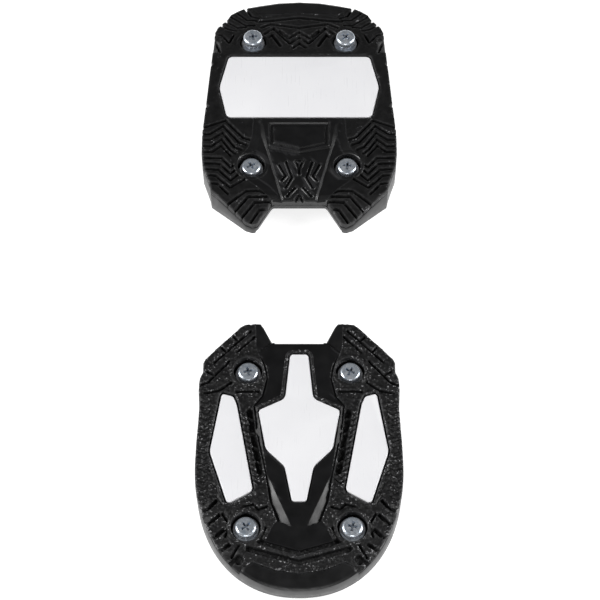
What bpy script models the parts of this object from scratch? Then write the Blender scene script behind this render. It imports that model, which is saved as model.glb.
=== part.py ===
"""Pair of replaceable ski-boot sole pads: a toe pad and a heel pad, tread side up.

Each pad is a hard carrier (web, perimeter skirt, ribs and screw bosses on the boot side), a rubber
chevron tread, low-friction slide plates, and four screws with flat washers.
Frame: +X across the boot, +Y towards the heel's rear, +Z up out of the tread, z = 0 on the boot-side
rim. All dimensions are in millimetres and become metres through MM.
"""
import bpy
import bmesh
import math

for ob in list(bpy.data.objects):
    bpy.data.objects.remove(ob, do_unlink=True)

MM = 0.001
Y0 = -1.95            # moves the origin to the middle of the pair's length

# ---- driving dimensions -------------------------------------------------------------------------
TOP = 13.0            # tread plane above the boot-side rim
WEB = 5.0             # carrier web thickness under the tread plane
TREAD = 2.4           # depth of the tread's seat below the tread plane
GAP = 0.3             # clearance between touching pieces
GROOVE = 1.1          # tread groove depth
GROOVE_W = 0.9        # tread groove width
SKIRT = 3.0           # perimeter skirt thickness
RIB_W = 2.0           # boot-side rib thickness
EDGE = 0.2            # tread set-back from the carrier's outline

SCREW_X = 17.5        # screw rows, either side of the centre line
TOE_SCREW_Y = (-41.8, -99.2)
HEEL_SCREW_Y = (99.7, 42.9)
HEAD_R, HEAD_H = 3.6, 2.4
SHANK_R, SHANK_L = 2.0, 9.8
WASHER_R, WASHER_BORE, WASHER_T = 4.4, 2.25, 0.8
BORE_R = 2.5          # clearance hole
SINK_R = 5.0          # counterbore
BOSS_R, BOSS_Z = 6.5, 5.5
SEAT = 9.0            # counterbore floor
SEAT_PROUD = 9.8      # counterbore floor at the heel's rear, where the surface falls away
PROUD = 2.1           # how far the heel-rear heads stand off their washers

TOE_ROCKER_Y, TOE_DROP, TOE_RUN = -92.0, 6.0, 27.0
HEEL_ROCKER_Y, HEEL_ROCKER_DEG = 92.0, 12.0
HEEL_HORN_Y, HEEL_HORN_SLOPE = 30.0, 0.286
TOE_HORN_Y, TOE_HORN_SLOPE = -33.0, 0.08
RELIEF_SLOPE = 0.24                   # the skirt's lower edge rises towards the horn tips
TOE_RELIEF_Y, HEEL_RELIEF_Y = -38.0, 34.2


def toe_top(y):
    if y < TOE_ROCKER_Y:
        return TOP - TOE_DROP * ((TOE_ROCKER_Y - y) / TOE_RUN) ** 1.6
    if y > TOE_HORN_Y:
        return TOP - TOE_HORN_SLOPE * (y - TOE_HORN_Y)
    return TOP


def heel_top(y):
    if y > HEEL_ROCKER_Y:
        return TOP - math.tan(math.radians(HEEL_ROCKER_DEG)) * (y - HEEL_ROCKER_Y)
    if y < HEEL_HORN_Y:
        return TOP - HEEL_HORN_SLOPE * (HEEL_HORN_Y - y)
    return TOP


TOE_YS = [-125.0 + 3.0 * i for i in range(12)] + [TOE_HORN_Y, -18.0]
HEEL_YS = [14.0, HEEL_HORN_Y, HEEL_ROCKER_Y, 128.0]


# ---- outlines: right half, mirrored across X = 0 -------------------------------------------------
def mirror(half):
    left = [(-x, y) for x, y in reversed(half) if abs(x) > 1e-6]
    return list(half) + left


def front_ellipse(a, b, cy, n, power=2.2):
    """Quarter of a slightly squared ellipse."""
    k = 2.0 / power
    return [(a * abs(math.cos(math.pi / 2 * i / n)) ** k, cy - b * math.sin(math.pi / 2 * i / n) ** k)
            for i in range(n)] + [(0.0, cy - b)]


TOE_HALF = [(8.2, -31.2), (9.2, -30.5), (12.3, -24.3), (13.4, -22.8), (18.8, -23.3), (20.2, -24.2),
            (32.3, -37.4), (33.0, -39.0), (32.9, -42.3), (34.0, -44.8), (34.3, -47.5), (33.9, -55.0),
            (34.2, -62.0), (34.6, -69.0)]
TOE_HALF += front_ellipse(34.8, 43.5, -76.0, 16)
HEEL_HALF = [(9.4, 27.5), (10.2, 26.8), (15.0, 19.7), (16.9, 19.1), (19.4, 20.1), (24.6, 25.0),
             (32.0, 31.8), (32.5, 34.6), (33.7, 38.4), (35.2, 42.8), (35.8, 50.0), (35.8, 57.0),
             (35.1, 65.0), (34.6, 71.0), (33.8, 81.7), (33.0, 91.0), (32.6, 98.0), (32.2, 105.5),
             (31.2, 108.4), (27.6, 113.2), (26.4, 115.8), (23.8, 118.0), (21.6, 119.4), (16.0, 121.0),
             (8.0, 122.8), (0.0, 123.4)]
TOE_OUT, HEEL_OUT = mirror(TOE_HALF), mirror(HEEL_HALF)


def area(p):
    return 0.5 * sum(p[i][0] * p[(i + 1) % len(p)][1] - p[(i + 1) % len(p)][0] * p[i][1]
                     for i in range(len(p)))


def offset(pts, d):
    """Mitred offset of a closed outline; positive d grows it."""
    sign = 1.0 if area(pts) > 0 else -1.0
    n, out = len(pts), []
    for i in range(n):
        ax, ay = pts[i - 1]
        bx, by = pts[i]
        cx, cy = pts[(i + 1) % n]
        ux, uy = bx - ax, by - ay
        vx, vy = cx - bx, cy - by
        lu, lv = math.hypot(ux, uy), math.hypot(vx, vy)
        n1 = (uy / lu * sign, -ux / lu * sign)
        n2 = (vy / lv * sign, -vx / lv * sign)
        mx, my = n1[0] + n2[0], n1[1] + n2[1]
        k = d * 2.0 / max(mx * mx + my * my, 0.8)
        out.append((bx + mx * k, by + my * k))
    return out


# ---- mesh helpers --------------------------------------------------------------------------------
def make(name, verts, faces, y0=Y0):
    me = bpy.data.meshes.new(name)
    me.from_pydata([(x * MM, (y + y0) * MM, z * MM) for x, y, z in verts], [], faces)
    bm = bmesh.new()
    bm.from_mesh(me)
    bmesh.ops.recalc_face_normals(bm, faces=bm.faces)
    bm.to_mesh(me)
    bm.free()
    ob = bpy.data.objects.new(name, me)
    bpy.context.scene.collection.objects.link(ob)
    return ob


def prism(pts, z0, z1, name="cut", y0=Y0):
    n = len(pts)
    verts = [(x, y, z0) for x, y in pts] + [(x, y, z1) for x, y in pts]
    faces = [list(range(n - 1, -1, -1)), list(range(n, 2 * n))]
    faces += [[i, (i + 1) % n, n + (i + 1) % n, n + i] for i in range(n)]
    return make(name, verts, faces, y0)


def slab(ys, lo, hi, name="slab", half=60.0):
    prof = [(y, lo(y)) for y in ys] + [(y, hi(y)) for y in reversed(ys)]
    n = len(prof)
    verts = [(-half, y, z) for y, z in prof] + [(half, y, z) for y, z in prof]
    faces = [list(range(n - 1, -1, -1)), list(range(n, 2 * n))]
    faces += [[i, (i + 1) % n, n + (i + 1) % n, n + i] for i in range(n)]
    return make(name, verts, faces)


def turned(prof, seg, cx=0.0, cy=0.0, name="turned", y0=Y0):
    """Solid of revolution about Z; prof runs from the top pole to the bottom pole as (r, z)."""
    verts, faces, rings = [], [], []
    for r, z in prof:
        if r < 1e-6:
            rings.append([len(verts)])
            verts.append((cx, cy, z))
        else:
            rings.append([len(verts) + i for i in range(seg)])
            verts += [(cx + r * math.cos(2 * math.pi * i / seg), cy + r * math.sin(2 * math.pi * i / seg), z)
                      for i in range(seg)]
    for a, b in zip(rings, rings[1:]):
        for i in range(seg):
            j = (i + 1) % seg
            if len(a) == 1:
                faces.append([a[0], b[i], b[j]])
            elif len(b) == 1:
                faces.append([a[i], b[0], a[j]])
            else:
                faces.append([a[i], b[i], b[j], a[j]])
    return make(name, verts, faces, y0)


def cylinder(r, z0, z1, cx, cy, seg=24):
    return turned([(0, z1), (r, z1), (r, z0), (0, z0)], seg, cx, cy)


def box(x0, x1, ya, yb, z0, z1, y0=Y0):
    return prism([(x0, ya), (x1, ya), (x1, yb), (x0, yb)], z0, z1, y0=y0)


def boolean(a, b, op):
    mod = a.modifiers.new("cut", "BOOLEAN")
    mod.operation, mod.solver, mod.object = op, "EXACT", b
    bpy.context.view_layer.update()
    dg = bpy.context.evaluated_depsgraph_get()
    me = bpy.data.meshes.new_from_object(a.evaluated_get(dg))
    a.modifiers.clear()
    a.data = me
    bpy.data.objects.remove(b, do_unlink=True)
    return a


def minus(a, *cutters):
    for c in cutters:
        boolean(a, c, "DIFFERENCE")
    return a


def plus(a, *more):
    for c in more:
        boolean(a, c, "UNION")
    return a


def both(a, b):
    return boolean(a, b, "INTERSECT")


def material(name, rgb, rough, metal=0.0):
    m = bpy.data.materials.new(name)
    m.use_nodes = True
    b = m.node_tree.nodes["Principled BSDF"]
    b.inputs["Base Color"].default_value = (*rgb, 1.0)
    b.inputs["Roughness"].default_value = rough
    b.inputs["Metallic"].default_value = metal
    return m


M_CARRIER = material("carrier_plastic", (0.013, 0.013, 0.014), 0.45)
M_RUBBER = material("tread_rubber", (0.018, 0.018, 0.019), 0.80)
M_PLATE = material("slide_plate_white", (0.84, 0.84, 0.86), 0.30)
M_ZINC = material("zinc_steel", (0.62, 0.64, 0.68), 0.30, 1.0)


def finish(ob, name, mat, smooth=False):
    bm = bmesh.new()
    bm.from_mesh(ob.data)
    bmesh.ops.remove_doubles(bm, verts=bm.verts, dist=0.00001)
    bmesh.ops.dissolve_degenerate(bm, edges=bm.edges, dist=0.00001)
    bmesh.ops.triangulate(bm, faces=bm.faces)
    bmesh.ops.recalc_face_normals(bm, faces=bm.faces)
    bm.to_mesh(ob.data)
    bm.free()
    ob.name = ob.data.name = name
    ob.data.materials.clear()
    ob.data.materials.append(mat)
    if smooth:
        ob.data.shade_smooth()
        ob.data.set_sharp_from_angle(angle=math.radians(35))
    return ob


# ---- zones of the carrier that come up through the tread -----------------------------------------
TOE_KEEL = mirror([(9.6, -28.0), (9.8, -33.0), (10.9, -43.6), (12.9, -51.3), (15.6, -54.2), (10.6, -80.7),
                   (9.2, -91.9), (7.2, -96.9), (8.5, -100.7), (10.4, -105.2), (0.0, -107.5)])
TOE_BUMPER = mirror([(0.0, -113.9), (8.0, -112.8), (15.2, -110.3), (18.2, -111.8), (22.0, -118.0),
                     (0.0, -126.0)])
HEEL_KEEL = mirror([(9.6, 20.0), (9.8, 27.0), (10.6, 28.6), (13.2, 31.6), (18.6, 36.0), (21.8, 40.2),
                    (22.2, 45.4), (18.6, 51.0), (17.4, 56.0), (17.0, 63.6)])
HEEL_STRIP = [(-22.5, 92.4), (22.5, 92.4), (21.0, 95.2), (-21.0, 95.2)]
HEEL_BUMPER = mirror([(0.0, 116.4), (7.0, 115.9), (14.0, 114.2), (18.0, 119.0), (19.0, 126.0),
                      (0.0, 129.0)])

TOE_CENTRE = mirror([(2.5, -35.4), (3.2, -36.2), (4.7, -51.4), (5.6, -52.8), (13.4, -56.6), (13.7, -57.6),
                     (11.4, -70.6), (10.6, -72.0), (5.2, -77.4), (4.7, -78.6), (2.5, -90.0), (1.9, -90.5)])
TOE_SIDE = [(22.4, -51.7), (25.8, -50.7), (26.4, -51.3), (29.8, -71.6), (29.7, -72.9), (24.0, -90.4),
            (22.9, -90.9), (16.0, -86.9), (15.5, -85.7), (21.2, -54.6)]
HEEL_HEX = mirror([(25.6, 92.0), (26.7, 91.2), (29.6, 78.5), (29.6, 77.0), (27.0, 65.2), (25.8, 64.2)])


# ---- tread grooves: mitred strips along chevron lines --------------------------------------------
def strip(line, w=GROOVE_W):
    """Closed outline of width w along a polyline."""
    n, left, right = len(line), [], []
    for i, (x, y) in enumerate(line):
        ax, ay = line[max(i - 1, 0)]
        bx, by = line[min(i + 1, n - 1)]
        if 0 < i < n - 1:
            ux, uy = x - ax, y - ay
            vx, vy = bx - x, by - y
            lu, lv = math.hypot(ux, uy), math.hypot(vx, vy)
            mx, my = -uy / lu - vy / lv, ux / lu + vx / lv
            k = w / max(mx * mx + my * my, 0.5)
        else:
            ux, uy = bx - ax, by - ay
            lu = math.hypot(ux, uy)
            mx, my = -uy / lu, ux / lu
            k = w / 2
        left.append((x + mx * k, y + my * k))
        right.append((x - mx * k, y - my * k))
    return left + right[::-1]


def repeat(line, n, dx, dy):
    return [[(x + dx * i, y + dy * i) for x, y in line] for i in range(n)]


def mirrored_lines(lines):
    return lines + [[(-x, y) for x, y in ln] for ln in lines]


# toe: bars along the horn's outer edge, small chevrons down each side band, V rows at the nose
TOE_GROOVES = mirrored_lines(
    repeat([(13.2, -26.6), (16.2, -26.6), (29.0, -40.6)], 3, -0.2, -3.4)[:2]
    + repeat([(24.4, -47.2), (28.6, -44.4), (36.0, -47.6)], 1, 0, 0)
    + repeat([(31.2, -54.4), (32.6, -53.2), (36.0, -54.6)], 6, 0.0, -4.2)
    + repeat([(14.0, -57.4), (18.0, -60.6), (22.0, -57.4)], 6, -0.8, -4.2)
    + repeat([(25.4, -93.4), (28.6, -91.2), (36.0, -95.0)], 4, -1.9, -4.2))
TOE_GROOVES += repeat([(-14.6, -105.0), (0.0, -109.4), (14.6, -105.0)], 1, 0.0, 0.0)
TOE_GROOVES += repeat([(-15.2, -107.2), (0.0, -111.8), (15.2, -107.2)], 1, 0.0, 0.0)
# heel: nested chevrons outside the front screws, horn chevrons, side bars and zigzags at the rear
HEEL_GROOVES = mirrored_lines(
    repeat([(19.6, 56.4), (21.4, 55.8), (28.0, 61.4), (32.0, 58.0), (38.0, 58.0)], 4, 1.0, -3.0)
    + repeat([(23.4, 39.4), (25.0, 38.0), (29.8, 42.0), (38.0, 42.4)], 1, 0.0, 0.0)
    + repeat([(20.6, 37.4), (25.0, 34.4), (30.2, 38.8), (38.0, 38.8)], 1, 0.0, 0.0)
    + [[(13.0, 30.4), (19.0, 29.0), (21.8, 24.4)],
       [(10.4, 27.8), (15.9, 27.2), (19.9, 21.4)],
       [(12.1, 24.7), (14.8, 23.8), (16.8, 20.3)]]
    + repeat([(31.6, 68.0), (32.6, 69.4), (38.0, 68.2)], 6, -0.25, 4.2)
    + repeat([(24.2, 97.4), (27.4, 99.6), (36.0, 96.4)], 4, -0.6, 4.2))
HEEL_GROOVES += [[(-12.8, 106.7), (-10.2, 109.6), (-3.5, 102.6), (0.0, 106.2), (3.5, 102.6), (10.2, 109.6),
                  (12.8, 106.7)],
                 [(-11.6, 100.8), (-9.2, 104.2), (-3.2, 98.0), (0.0, 101.4), (3.2, 98.0), (9.2, 104.2),
                  (11.6, 100.8)]]
# raised chevrons on the heel's keel
KEEL_CHEVRONS = mirrored_lines([[(7.2, 44.6), (3.4, 38.2), (5.6, 33.8)], [(5.2, 46.4), (1.3, 39.6)]])


# ---- carriers ------------------------------------------------------------------------------------
def carrier(name, ys, top, out, zones, hollow, ribs, screws, relief_y, arch):
    body = both(slab(ys, lambda y: 0.0, top), prism(out, -5, 20))
    body = minus(body, slab(sorted([relief_y, relief_y + 26.0 * arch]), lambda y: -6.0,
                            lambda y: abs(y - relief_y) * RELIEF_SLOPE, half=70.0))
    seat_cut = slab(ys, lambda y: top(y) - TREAD, lambda y: top(y) + 10.0, half=70.0)
    for z in zones:
        seat_cut = minus(seat_cut, prism(z, -5, 40))
    body = minus(body, seat_cut)
    core = both(slab(ys, lambda y: -2.0, lambda y: top(y) - WEB), prism(hollow, -5, 20))
    for r in ribs:
        core = minus(core, box(*r, 1.0, 30.0))
    for x, y, seat in screws:
        core = minus(core, cylinder(BOSS_R, BOSS_Z, 30.0, x, y))
    body = minus(body, core)
    for x, y, seat in screws:
        body = minus(body, cylinder(SINK_R, seat, 30.0, x, y), cylinder(BORE_R, -3.0, 30.0, x, y, 20))
    return body


toe_screws = [(s * SCREW_X, y, SEAT) for y in TOE_SCREW_Y for s in (-1, 1)]
heel_screws = [(s * SCREW_X, y, SEAT_PROUD if y > 90 else SEAT) for y in HEEL_SCREW_Y for s in (-1, 1)]


def hollow_outline(out, half, first, open_y, open_x):
    inn = offset(out, -SKIRT)[:len(half)]
    keep = [p for p in inn[first:]]
    return mirror([(open_x, open_y)] + keep)


toe_hollow = hollow_outline(TOE_OUT, TOE_HALF, 5, -16.0, 12.0)
heel_hollow = hollow_outline(HEEL_OUT, HEEL_HALF, 4, 10.0, 12.0)

toe_base = carrier("toe_base", TOE_YS, toe_top, TOE_OUT, [TOE_KEEL, TOE_BUMPER], toe_hollow,
                   [(-RIB_W / 2, RIB_W / 2, -125, -37), (-40, 40, -57, -55), (-40, 40, -79, -77)],
                   toe_screws, TOE_RELIEF_Y, 1)
toe_base = minus(toe_base, prism(offset(TOE_CENTRE, GAP), TOP - 2.3, 30.0))

heel_base = carrier("heel_base", HEEL_YS, heel_top, HEEL_OUT, [HEEL_KEEL, HEEL_STRIP, HEEL_BUMPER],
                    heel_hollow,
                    [(-RIB_W / 2, RIB_W / 2, 34, 130), (-40, 40, 61, 63), (-40, 40, 84, 86)],
                    heel_screws, HEEL_RELIEF_Y, -1)
for line in KEEL_CHEVRONS:
    heel_base = minus(heel_base, prism(strip(line, 0.7), TOP - 0.5, 30.0))
finish(toe_base, "toe_base", M_CARRIER)
finish(heel_base, "heel_base", M_CARRIER)


# ---- treads --------------------------------------------------------------------------------------
def tread(name, ys, top, out, zones, pockets, screws, grooves):
    body = both(slab(ys, lambda y: top(y) - TREAD + GAP, top), prism(offset(out, -EDGE), -5, 20))
    for z in zones:
        body = minus(body, prism(offset(z, GAP), -5, 30))
    for p in pockets:
        body = minus(body, prism(offset(p, GAP), -5, 30))
    for x, y, seat in screws:
        body = minus(body, cylinder(SINK_R + 0.2, -5, 30, x, y))
    for line in grooves:
        cut = both(slab(ys, lambda y: top(y) - GROOVE, lambda y: top(y) + 4.0), prism(strip(line), -4, 40))
        body = minus(body, cut)
    return finish(body, name, M_RUBBER)


side_left = [(-x, y) for x, y in reversed(TOE_SIDE)]
tread("toe_tread", TOE_YS, toe_top, TOE_OUT, [TOE_KEEL, TOE_BUMPER], [TOE_SIDE, side_left], toe_screws,
      TOE_GROOVES)
tread("heel_tread", HEEL_YS, heel_top, HEEL_OUT, [HEEL_KEEL, HEEL_STRIP, HEEL_BUMPER], [HEEL_HEX],
      heel_screws, HEEL_GROOVES)

# ---- slide plates --------------------------------------------------------------------------------
finish(prism(TOE_CENTRE, TOP - 2.0, TOP - 0.2), "toe_centre_plate", M_PLATE)
finish(prism(side_left, TOP - TREAD + GAP, TOP - 0.1), "toe_left_plate", M_PLATE)
finish(prism(TOE_SIDE, TOP - TREAD + GAP, TOP - 0.1), "toe_right_plate", M_PLATE)
finish(prism(HEEL_HEX, TOP - TREAD + GAP, TOP - 0.1), "heel_plate", M_PLATE)


# ---- washers and screws: each piece's origin is on its own axis -----------------------------------
def washer(name, x, y, z0):
    seg = 24
    ring = [(WASHER_BORE, z0), (WASHER_R, z0), (WASHER_R, z0 + WASHER_T), (WASHER_BORE, z0 + WASHER_T)]
    verts = [(r * math.cos(2 * math.pi * i / seg), r * math.sin(2 * math.pi * i / seg), z)
             for i in range(seg) for r, z in ring]
    faces = []
    for i in range(seg):
        j = (i + 1) % seg
        faces += [[i * 4 + k, j * 4 + k, j * 4 + (k + 1) % 4, i * 4 + (k + 1) % 4] for k in range(4)]
    ob = finish(make(name, verts, faces, 0.0), name, M_ZINC, True)
    ob.location = (x * MM, (y + Y0) * MM, 0.0)
    return ob


def screw(name, x, y, under):
    prof = [(0.0, HEAD_H), (HEAD_R - 0.9, HEAD_H), (HEAD_R - 0.25, HEAD_H - 0.35), (HEAD_R, HEAD_H - 0.9),
            (HEAD_R, 0.0), (SHANK_R, 0.0), (SHANK_R, -SHANK_L + 0.7), (SHANK_R - 0.6, -SHANK_L),
            (0.0, -SHANK_L)]
    ob = turned([(r, z + under) for r, z in prof], 24, name=name, y0=0.0)
    for w, l in ((0.45, 2.0), (2.0, 0.45)):
        ob = minus(ob, box(-w, w, -l, l, under + HEAD_H - 1.3, under + HEAD_H + 2.0, 0.0))
    ob = finish(ob, name, M_ZINC, True)
    ob.location = (x * MM, (y + Y0) * MM, 0.0)
    return ob


for pad, rows in (("toe", toe_screws), ("heel", heel_screws)):
    for x, y, seat in rows:
        where = ("rear" if y == max(r[1] for r in rows) else "front") + ("_left" if x < 0 else "_right")
        z0 = seat + 0.2
        proud = PROUD if seat == SEAT_PROUD else 0.2
        washer("%s_%s_washer" % (pad, where), x, y, z0)
        screw("%s_%s_screw" % (pad, where), x, y, z0 + WASHER_T + proud)
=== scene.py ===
import math
import bpy
import bmesh
import numpy as np
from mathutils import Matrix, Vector


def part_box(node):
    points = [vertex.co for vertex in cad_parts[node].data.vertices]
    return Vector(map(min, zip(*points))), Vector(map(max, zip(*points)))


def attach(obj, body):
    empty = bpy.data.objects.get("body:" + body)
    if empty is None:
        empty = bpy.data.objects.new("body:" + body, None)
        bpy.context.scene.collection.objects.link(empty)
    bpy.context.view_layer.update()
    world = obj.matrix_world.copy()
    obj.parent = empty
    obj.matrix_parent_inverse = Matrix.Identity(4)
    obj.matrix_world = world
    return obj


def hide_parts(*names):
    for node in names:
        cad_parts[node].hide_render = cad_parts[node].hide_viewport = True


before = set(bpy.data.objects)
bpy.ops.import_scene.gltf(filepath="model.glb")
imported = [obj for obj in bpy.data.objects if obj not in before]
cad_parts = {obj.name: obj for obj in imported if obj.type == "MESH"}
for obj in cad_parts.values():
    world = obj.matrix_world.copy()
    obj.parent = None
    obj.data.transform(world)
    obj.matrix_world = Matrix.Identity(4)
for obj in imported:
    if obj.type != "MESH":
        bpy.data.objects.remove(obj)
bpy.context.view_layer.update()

MM = 0.001
Y0 = -1.95                 # the CAD frame's shift along Y, in mm
TOP, WEB, SEAT_DEPTH, GAP, SKIRT, EDGE = 13.0, 5.0, 2.4, 0.3, 3.0, 0.2


# ---- the CAD's own surfaces, so that every piece lies where its CAD solid does ---------------------
def toe_top(y):
    y = np.asarray(y, float)
    nose = TOP - 6.0 * (np.clip(-92.0 - y, 0, None) / 27.0) ** 1.6
    return np.where(y < -92.0, nose, TOP - 0.08 * np.clip(y + 33.0, 0, None))


def heel_top(y):
    y = np.asarray(y, float)
    return TOP - math.tan(math.radians(12.0)) * np.clip(y - 92.0, 0, None) - 0.286 * np.clip(30.0 - y, 0, None)


def mirror(half):
    return list(half) + [(-x, y) for x, y in reversed(half) if abs(x) > 1e-6]


def ml(lines):
    return list(lines) + [[(-x, y) for x, y in ln] for ln in lines]


def repeat(line, n, dx, dy):
    return [[(x + dx * i, y + dy * i) for x, y in line] for i in range(n)]


TOE_HALF = [(8.2, -31.2), (9.2, -30.5), (12.3, -24.3), (13.4, -22.8), (18.8, -23.3), (20.2, -24.2),
            (32.3, -37.4), (33.0, -39.0), (32.9, -42.3), (34.0, -44.8), (34.3, -47.5), (33.9, -55.0),
            (34.2, -62.0), (34.6, -69.0)]
TOE_HALF += [(34.8 * abs(math.cos(math.pi / 2 * i / 60)) ** (1 / 1.1),
              -76.0 - 43.5 * math.sin(math.pi / 2 * i / 60) ** (1 / 1.1)) for i in range(60)] + [(0.0, -119.5)]
HEEL_HALF = [(9.4, 27.5), (10.2, 26.8), (15.0, 19.7), (16.9, 19.1), (19.4, 20.1), (24.6, 25.0),
             (32.0, 31.8), (32.5, 34.6), (33.7, 38.4), (35.2, 42.8), (35.8, 50.0), (35.8, 57.0),
             (35.1, 65.0), (34.6, 71.0), (33.8, 81.7), (33.0, 91.0), (32.6, 98.0), (32.2, 105.5),
             (31.2, 108.4), (27.6, 113.2), (26.4, 115.8), (23.8, 118.0), (21.6, 119.4), (16.0, 121.0),
             (8.0, 122.8), (0.0, 123.4)]
TOE_OUT, HEEL_OUT = mirror(TOE_HALF), mirror(HEEL_HALF)
TOE_CENTRE = mirror([(2.5, -35.4), (3.2, -36.2), (4.7, -51.4), (5.6, -52.8), (13.4, -56.6), (13.7, -57.6),
                     (11.4, -70.6), (10.6, -72.0), (5.2, -77.4), (4.7, -78.6), (2.5, -90.0), (1.9, -90.5)])
TOE_SIDE = [(22.4, -51.7), (25.8, -50.7), (26.4, -51.3), (29.8, -71.6), (29.7, -72.9), (24.0, -90.4),
            (22.9, -90.9), (16.0, -86.9), (15.5, -85.7), (21.2, -54.6)]
TOE_SIDE_L = [(-x, y) for x, y in reversed(TOE_SIDE)]
HEEL_HEX = mirror([(25.6, 92.0), (26.7, 91.2), (29.6, 78.5), (29.6, 77.0), (27.0, 65.2), (25.8, 64.2)])
TOE_ZONE = mirror([(9.6, -18.0), (15.4, -18.0), (15.0, -33.0), (12.4, -40.0), (11.4, -44.6), (12.9, -51.3),
                   (15.8, -55.0), (14.5, -66.0), (11.5, -80.7), (10.0, -90.6), (7.6, -97.2), (8.6, -98.4),
                   (11.4, -103.9), (0.0, -107.0)])
TOE_BUMPER = mirror([(0.0, -113.9), (8.0, -112.8), (15.2, -110.3), (18.2, -111.8), (22.0, -118.0),
                     (0.0, -126.0)])
HEEL_ZONE = mirror([(9.6, 14.0), (9.8, 27.0), (10.6, 28.6), (13.2, 31.6), (18.6, 36.0), (21.8, 40.2),
                    (22.2, 45.4), (18.6, 51.0), (17.4, 56.0), (17.0, 63.6)])
HEEL_BUMPER = mirror([(0.0, 116.4), (7.0, 115.9), (14.0, 114.2), (18.0, 119.0), (19.0, 126.0),
                      (0.0, 129.0)])
SX = 17.5
TOE_SCREWS = [(s * SX, y, 9.0) for y in (-41.8, -99.2) for s in (-1, 1)]
HEEL_SCREWS = [(s * SX, y, 9.8 if y > 90 else 9.0) for y in (99.7, 42.9) for s in (-1, 1)]


# ---- distances -----------------------------------------------------------------------------------
def sd(P, poly):
    """Signed distance to a closed outline, negative inside."""
    x, y = P[:, 0], P[:, 1]
    d2 = np.full(len(P), 1e12)
    inside = np.zeros(len(P), bool)
    n = len(poly)
    for i in range(n):
        ax, ay = poly[i]
        bx, by = poly[(i + 1) % n]
        ex, ey = bx - ax, by - ay
        L = ex * ex + ey * ey
        if L < 1e-12:
            continue
        wx, wy = x - ax, y - ay
        t = np.clip((wx * ex + wy * ey) / L, 0, 1)
        d2 = np.minimum(d2, (wx - t * ex) ** 2 + (wy - t * ey) ** 2)
        if abs(ey) > 1e-12:
            inside ^= ((ay > y) != (by > y)) & (x < ax + (y - ay) * ex / ey)
    d = np.sqrt(d2)
    return np.where(inside, -d, d)


def dl(P, lines):
    """Distance to the nearest of some polylines."""
    x, y = P[:, 0], P[:, 1]
    d2 = np.full(len(P), 1e12)
    for ln in lines:
        for (ax, ay), (bx, by) in zip(ln, ln[1:]):
            ex, ey = bx - ax, by - ay
            L = ex * ex + ey * ey
            t = np.clip(((x - ax) * ex + (y - ay) * ey) / L, 0, 1)
            d2 = np.minimum(d2, (x - ax - t * ex) ** 2 + (y - ay - t * ey) ** 2)
    return np.sqrt(d2)


def ramp(v, a, b):
    """0 at a, 1 at b, eased."""
    t = np.clip((v - a) / (b - a), 0, 1)
    return t * t * (3 - 2 * t)


def lin(v, a, b):
    return np.clip((v - a) / (b - a), 0, 1)


def grad(f, P, e=0.02):
    gx = (f(P + (e, 0)) - f(P - (e, 0))) / (2 * e)
    gy = (f(P + (0, e)) - f(P - (0, e))) / (2 * e)
    g = np.stack([gx, gy], 1)
    return g / np.maximum(np.linalg.norm(g, axis=1, keepdims=True), 0.3)


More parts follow.
